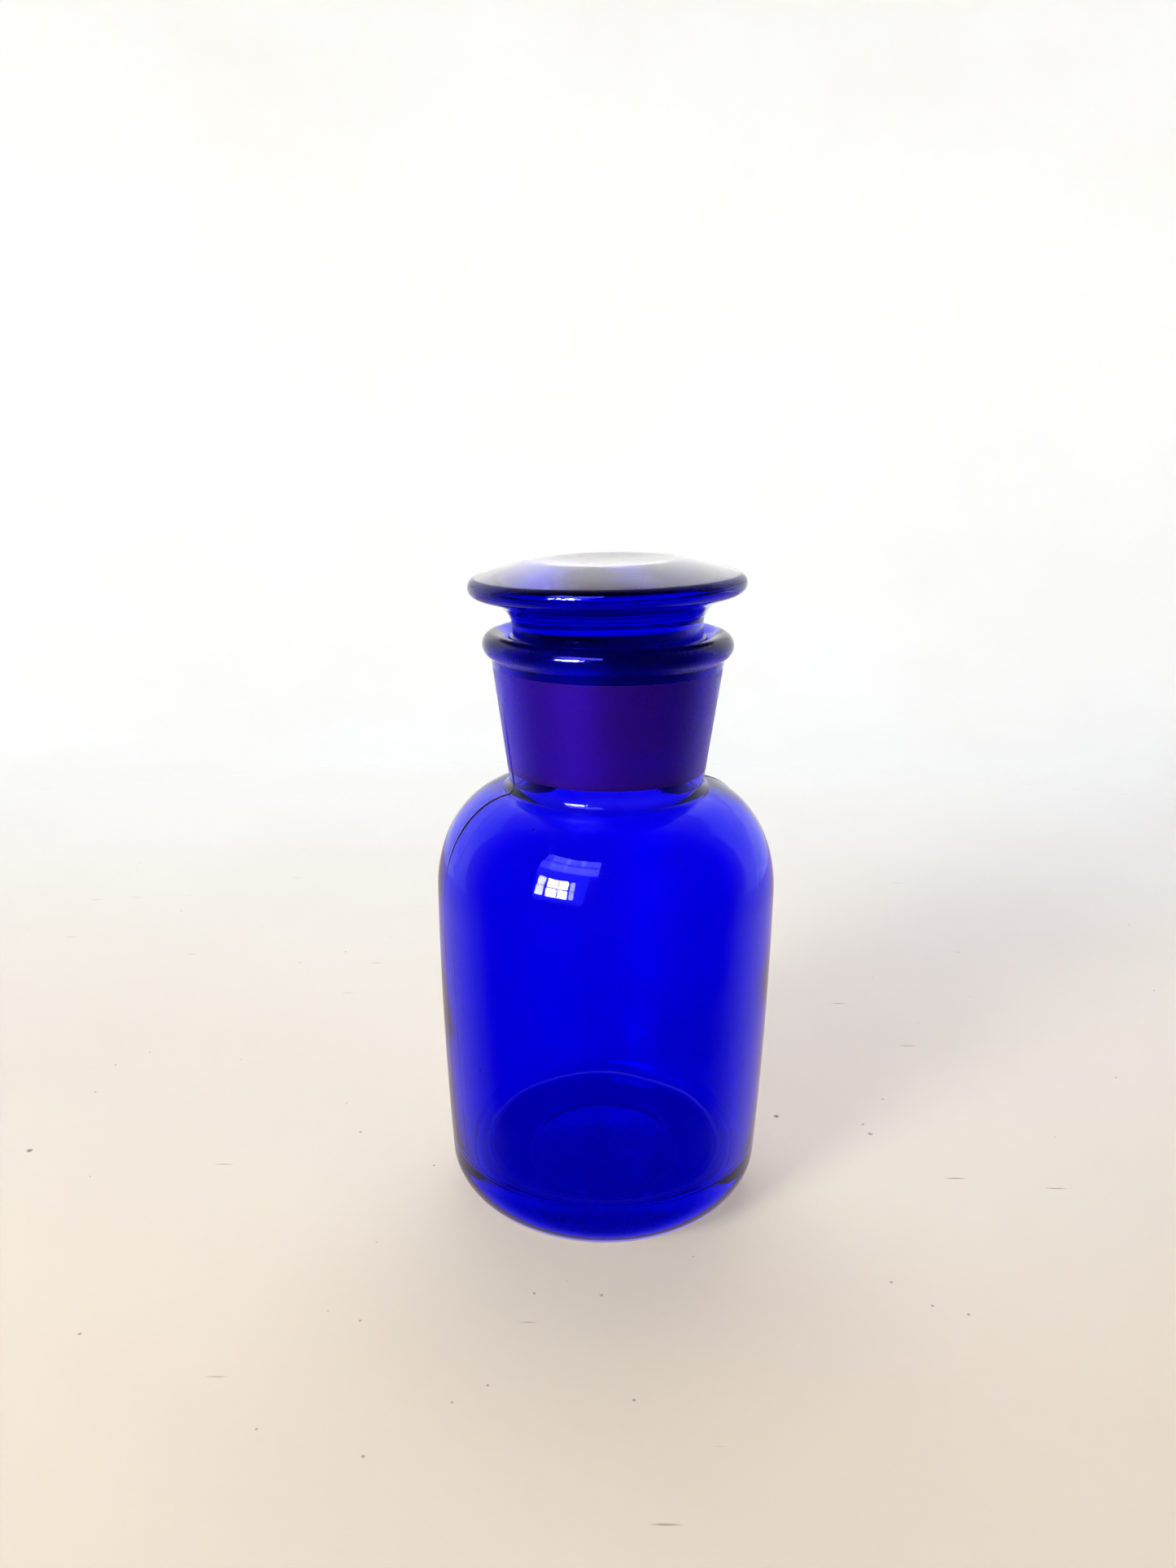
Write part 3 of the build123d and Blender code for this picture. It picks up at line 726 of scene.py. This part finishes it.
def painted_board(look):
    """Matt off-white paint on board: a soft pale surface with a few specks and hairline scratches."""
    made, tree, place = new_material("painted_board_matt")
    cloud = node(tree, "ShaderNodeTexNoise", {"Vector": place, "Scale": 7.0, "Detail": 4.0})
    # Painted shade and light: the board is darker and warmer at its front edge and whitens behind and
    # upwards.
    parts = node(tree, "ShaderNodeSeparateXYZ", {0: place}).outputs
    depth, height = (node(tree, "ShaderNodeMapRange", {"Value": parts[axis], "From Min": low,
                                                       "From Max": high}).outputs[0]
                     for axis, (low, high) in PAINTED_LIGHT_RAMP.items())
    lit_share = node(tree, "ShaderNodeMath", {0: depth, 1: height}, operation="MAXIMUM").outputs[0]
    tone = node(tree, "ShaderNodeMix", {0: lit_share, 6: linear(look.near_shaded_hue), 7: linear(look.far_lit_hue)},
                data_type="RGBA")
    mottle = node(tree, "ShaderNodeMix", {0: cloud.outputs["Fac"], 6: linear("#FFFFFF"),
                                          7: linear("#F4F0EC")}, data_type="RGBA")
    tone = node(tree, "ShaderNodeMix", {0: 1.0, 6: tone.outputs[2], 7: mottle.outputs[2]}, data_type="RGBA",
                blend_type="MULTIPLY")
    # Marks of use lie on the floor alone and thin out towards the backdrop.
    used = node(tree, "ShaderNodeMapRange", {"Value": parts["Y"], "From Min": USED[0], "From Max": USED[1],
                                             "To Min": 1.0, "To Max": 0.0}).outputs[0]
    drawn_out = node(tree, "ShaderNodeMapping", {"Vector": place, "Rotation": (0, 0, radians(35)),
                                                 "Scale": (1.0, 9.0, 1.0)}).outputs[0]
    for scale, inner, outer, chosen, mark_hue, is_scratch in BOARD_MARKS:
        cells = node(tree, "ShaderNodeTexVoronoi", {"Vector": drawn_out if is_scratch else place,
                                                    "Scale": scale})
        mark = node(tree, "ShaderNodeMapRange", {"Value": cells.outputs["Distance"], "From Min": inner,
                                                 "From Max": outer, "To Min": 1.0, "To Max": 0.0})
        rare = node(tree, "ShaderNodeSeparateColor", {0: cells.outputs["Color"]})
        rare = node(tree, "ShaderNodeMath", {0: rare.outputs[0], 1: chosen}, operation="GREATER_THAN")
        mark = node(tree, "ShaderNodeMath", {0: mark.outputs[0], 1: rare.outputs[0]}, operation="MULTIPLY")
        mark = node(tree, "ShaderNodeMath", {0: mark.outputs[0], 1: used}, operation="MULTIPLY")
        tone = node(tree, "ShaderNodeMix", {0: mark.outputs[0], 6: tone.outputs[2], 7: linear(mark_hue)},
                    data_type="RGBA")
    bump = node(tree, "ShaderNodeBump", {"Height": cloud.outputs["Fac"], "Strength": 0.2,
                                         "Distance": 0.2 * MM})
    surface = node(tree, "ShaderNodeBsdfPrincipled", {"Base Color": tone.outputs[2], "Roughness": 0.7,
                                                      "Specular IOR Level": 0.2, "Normal": bump.outputs[0]})
    node(tree, "ShaderNodeOutputMaterial", {"Surface": surface.outputs[0]})
    return made


# ---- Operators

class BOTTLE_OT_bottle(Operator):
    """Turn the bottle's section into its glass"""
    bl_idname = "bottle.add_bottle"
    bl_label = "Add Bottle"

    def execute(self, context):
        sizes, look = context.scene.bottle_sizes, context.scene.glass_look
        section = section_object("bottle_section", bottle_section(sizes))
        piece = turned_piece("cobalt_bottle", section, {
            "Segments": look.segments, "Seam Turn": -pi / 2 - look.seam_turn, "Seam Width": SEAM_WIDTH,
            "Wander Size": BLOWN_WAVE, "Seed Count": look.seeds, "Seed Radius": SEED_RADIUS,
            "Seed Depth": sizes.wall / 2, "Random Seed": 3,
            "Clear Glass": fire_polished_glass(look, "bottle"),
            "Ground Glass": ground_glass(look, "finish"), "Tooled Glass": tooled_glass(look),
            "Filmed Shaded Glass": filmed_shaded_glass(look), "Painted Ring Glass": painted_ring_glass(look),
            "Lip Glass": fire_polished_glass(look, "finish")})
        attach(piece, "bottle")
        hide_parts("bottle")
        return {"FINISHED"}


class BOTTLE_OT_stopper(Operator):
    """Turn the stopper's section into its glass"""
    bl_idname = "bottle.add_stopper"
    bl_label = "Add Stopper"

    def execute(self, context):
        sizes, look = context.scene.stopper_sizes, context.scene.glass_look
        section = section_object("stopper_section", stopper_section(sizes, context.scene.bottle_sizes))
        piece = turned_piece("cobalt_stopper", section, {
            "Segments": look.segments, "Seam Turn": 0.0, "Wander Size": PRESSED_WAVE,
            "Lean": -sizes.head_tilt, "Lean Height": sizes.plug_top, "Seed Count": 0, "Random Seed": 8,
            "Clear Glass": fire_polished_glass(look, "stopper"),
            "Ground Glass": ground_glass(look, "stopper"), "Scuffed Glass": scuffed_glass(look)})
        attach(piece, "stopper")
        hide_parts("stopper")
        return {"FINISHED"}


FLOOR_GAP = 0.15 * MM                    # painted board isn't flat: glass stands on its high spots
CYC_CENTRE = Vector((0.0, -0.20, -FLOOR_GAP))   # the round studio is set forward of the bottle
CYC_FLOOR, CYC_CURVE, CYC_TOP = 0.50, 0.25, 0.62
BACK_SECTOR = radians(58)                # half of the sector that polished glass reflects
# Each soft lamp: its azimuth and elevation in degrees, its distance from what it faces, its width and height.
WINDOW_LAMP = (42, 18, 0.78, 0.22, 0.18)
OVERHEAD_LAMP = (180, 64, 0.90, 0.60, 0.60)
BACKDROP_LAMP = (0, 80, 0.95, 1.00, 0.30)
# What polished glass reflects of the window: two rows of bright panes, the dimmer panes above them, and a
# faint glow round them all. A row is an elevation in degrees and a height; a column is an azimuth in degrees,
# a width and its share of the panes' power.
PANE_ROWS = ((22.8, 0.070), (15.0, 0.066))
PANE_COLUMNS = ((44.7, 0.052, 0.35), (36.4, 0.068, 1.0), (28.6, 0.060, 1.0), (22.4, 0.028, 0.2))
UPPER_ROWS = ((46.0, 0.060), (38.0, 0.070))
UPPER_COLUMNS = ((48.0, 0.060, 0.012), (38.0, 0.105, 0.03), (25.0, 0.105, 0.03), (12.0, 0.105, 0.03))
GLOW_ROWS = ((26.0, 0.46),)
GLOW_COLUMNS = ((32.0, 0.44, 0.004),)
PANE_REACH, GLOW_REACH = 0.55, 0.70
BOTTLE_MIDDLE = Vector((0.0, 0.0, 0.07))
BACKDROP_FOOT = Vector((0.0, 0.55, 0.1))
CEILING_EDGE = (-0.3, 0.5)               # the ceiling fades in as a direction turns from front to back
LENS, SENSOR = 28.75, 36.0
CAMERA_PLACE = Vector((0.0, -0.2053, 0.1331))
CAMERA_YAW, CAMERA_PITCH, CAMERA_ROLL = -0.01536, 0.27557, 0.00534


def cyclorama(name, first, last, material, inner, outer=None):
    """A sector of the round studio: flat from inner to outer, or with no outer, the wall that sweeps up."""
    columns = np.linspace(first, last, max(8, int(degrees(last - first) / 2)))
    line = [(inner, 0.0), (outer, 0.0)]
    if outer is None:
        curve = np.linspace(0, pi / 2, 24)
        line = [(inner + CYC_CURVE * sin(t), CYC_CURVE * (1 - cos(t))) for t in curve]
        line.append((inner + CYC_CURVE, CYC_TOP))
    points = [CYC_CENTRE + Vector((r * sin(a), r * cos(a), z)) for a in columns for r, z in line]
    n = len(line)
    faces = [(i * n + j, i * n + j + 1, (i + 1) * n + j + 1, (i + 1) * n + j)
             for i in range(len(columns) - 1) for j in range(n - 1)]
    mesh = bpy.data.meshes.new(name)
    mesh.from_pydata(points, [], faces)
    mesh.shade_smooth()
    mesh.materials.append(material)
    made = bpy.data.objects.new(name, mesh)
    bpy.context.scene.collection.objects.link(made)
    return made


def aimed_light(name, azimuth, elevation, reach, wide, tall, radiance, colour="#FFFFFF", aim=BOTTLE_MIDDLE):
    """A rectangular soft light that faces an aim. Azimuth is in degrees, from the front towards the left."""
    azimuth, elevation = radians(azimuth), radians(elevation)
    away = Vector((-sin(azimuth) * cos(elevation), -cos(azimuth) * cos(elevation), sin(elevation)))
    data = bpy.data.lights.new(name, "AREA")
    data.shape, data.size, data.size_y = "RECTANGLE", wide, tall
    data.energy, data.color = radiance * pi * wide * tall, linear(colour)[:3]
    made = bpy.data.objects.new(name, data)
    made.location = aim + away * reach
    made.rotation_euler = away.to_track_quat("Z", "Y").to_euler()
    made.visible_camera = False
    bpy.context.scene.collection.objects.link(made)
    return made


class BOTTLE_OT_studio(Operator):
    """Set up the pale floor, the soft lights and the camera"""
    bl_idname = "bottle.add_studio"
    bl_label = "Add Studio"

    def execute(self, context):
        look, scene = context.scene.studio_look, context.scene
        board = painted_board(look)
        cyclorama("studio_back", -BACK_SECTOR, BACK_SECTOR, board, CYC_FLOOR)
        # Polished glass would mirror these two as a pale veil, so it sees the dim room instead.
        for part in (cyclorama("studio_floor", 0, 2 * pi, board, 0.0, CYC_FLOOR),
                     cyclorama("studio_front", BACK_SECTOR, 2 * pi - BACK_SECTOR, board, CYC_FLOOR)):
            part.visible_glossy = False
        # These light matt surfaces only; polished glass reflects the panes below instead.
        for lamp in (
                aimed_light("window_light", *WINDOW_LAMP, look.window_power, look.window_hue),
                aimed_light("overhead_light", *OVERHEAD_LAMP, look.overhead_power),
                aimed_light("backdrop_light", *BACKDROP_LAMP, look.backdrop_power, aim=BACKDROP_FOOT)):
            lamp.visible_glossy = lamp.visible_transmission = False
            lamp.data.cycles.use_multiple_importance_sampling = False
        for name, rows, columns, reach in (("pane", PANE_ROWS, PANE_COLUMNS, PANE_REACH),
                                           ("upper_pane", UPPER_ROWS, UPPER_COLUMNS, PANE_REACH),
                                           ("glow", GLOW_ROWS, GLOW_COLUMNS, GLOW_REACH)):
            for elevation, tall in rows:
                for azimuth, wide, share_of in columns:
                    pane = aimed_light(name, azimuth, elevation, reach, wide, tall,
                                       look.pane_power * share_of)
                    pane.visible_diffuse = False
        world = bpy.data.worlds.new("soft_sky")
        scene.world = world
        world.use_nodes = True
        tree = world.node_tree
        tree.nodes.clear()
        # A soft pale sky for matt surfaces. Polished glass reflects a dim room with a pale ceiling behind it.
        aim = node(tree, "ShaderNodeTexCoord").outputs["Generated"]
        aim = node(tree, "ShaderNodeSeparateXYZ", {0: aim}).outputs
        ceiling = node(tree, "ShaderNodeMapRange", {"Value": aim["Y"], "From Min": CEILING_EDGE[0],
                                                    "From Max": CEILING_EDGE[1],
                                                    "To Min": look.room, "To Max": look.ceiling},
                       interpolation_type="SMOOTHSTEP").outputs[0]
        sky = node(tree, "ShaderNodeBackground", {"Color": linear(look.sky_hue), "Strength": look.sky})
        room = node(tree, "ShaderNodeBackground", {"Color": linear(look.room_hue), "Strength": ceiling})
        rays = node(tree, "ShaderNodeLightPath")
        mixed = node(tree, "ShaderNodeMixShader", {0: rays.outputs["Is Glossy Ray"], 1: sky.outputs[0],
                                                   2: room.outputs[0]})
        node(tree, "ShaderNodeOutputWorld", {"Surface": mixed.outputs[0]})
        scene.view_settings.view_transform = "Standard"
        scene.view_settings.look = "None"
        add_camera(scene)
        return {"FINISHED"}


def add_camera(scene):
    """The camera, looking down at the bottle from just above its stopper."""
    forward = Vector((sin(CAMERA_YAW) * cos(CAMERA_PITCH), cos(CAMERA_YAW) * cos(CAMERA_PITCH),
                      -sin(CAMERA_PITCH)))
    level = Vector((cos(CAMERA_YAW), -sin(CAMERA_YAW), 0.0))
    upright = level.cross(forward)
    right = cos(CAMERA_ROLL) * level + sin(CAMERA_ROLL) * upright
    up = cos(CAMERA_ROLL) * upright - sin(CAMERA_ROLL) * level
    data = bpy.data.cameras.new("camera")
    data.lens, data.sensor_width = LENS, SENSOR
    data.clip_start, data.clip_end = 0.01, 20.0
    made = bpy.data.objects.new("camera", data)
    turn = Matrix((right, up, -forward)).transposed().to_4x4()
    made.matrix_world = Matrix.Translation(CAMERA_PLACE) @ turn
    scene.collection.objects.link(made)
    scene.camera = made


class BOTTLE_PT_panel(Panel):
    """Lists the steps and the values that they read"""
    bl_label = "Medicine Bottle"
    bl_space_type = "VIEW_3D"
    bl_region_type = "UI"
    bl_category = "Bottle"

    def draw(self, context):
        for operator in OPERATORS:
            self.layout.operator(operator.bl_idname)
        for name in GROUPS:
            box = self.layout.box()
            group = getattr(context.scene, name)
            for key in group.bl_rna.properties.keys():
                if key not in ("name", "rna_type"):
                    box.prop(group, key)


GROUPS = {"bottle_sizes": BottleSizes, "stopper_sizes": StopperSizes, "glass_look": GlassLook,
          "studio_look": StudioLook}
OPERATORS = (BOTTLE_OT_bottle, BOTTLE_OT_stopper, BOTTLE_OT_studio)
CLASSES = (*GROUPS.values(), *OPERATORS, BOTTLE_PT_panel)


def register():
    for cls in CLASSES:
        bpy.utils.register_class(cls)
    for name, group in GROUPS.items():
        setattr(bpy.types.Scene, name, PointerProperty(type=group))


def unregister():
    for name in GROUPS:
        delattr(bpy.types.Scene, name)
    for cls in reversed(CLASSES):
        bpy.utils.unregister_class(cls)


def main():
    register()
    bpy.ops.bottle.add_bottle()
    bpy.ops.bottle.add_stopper()
    bpy.ops.bottle.add_studio()


if __name__ == "__main__":
    main()
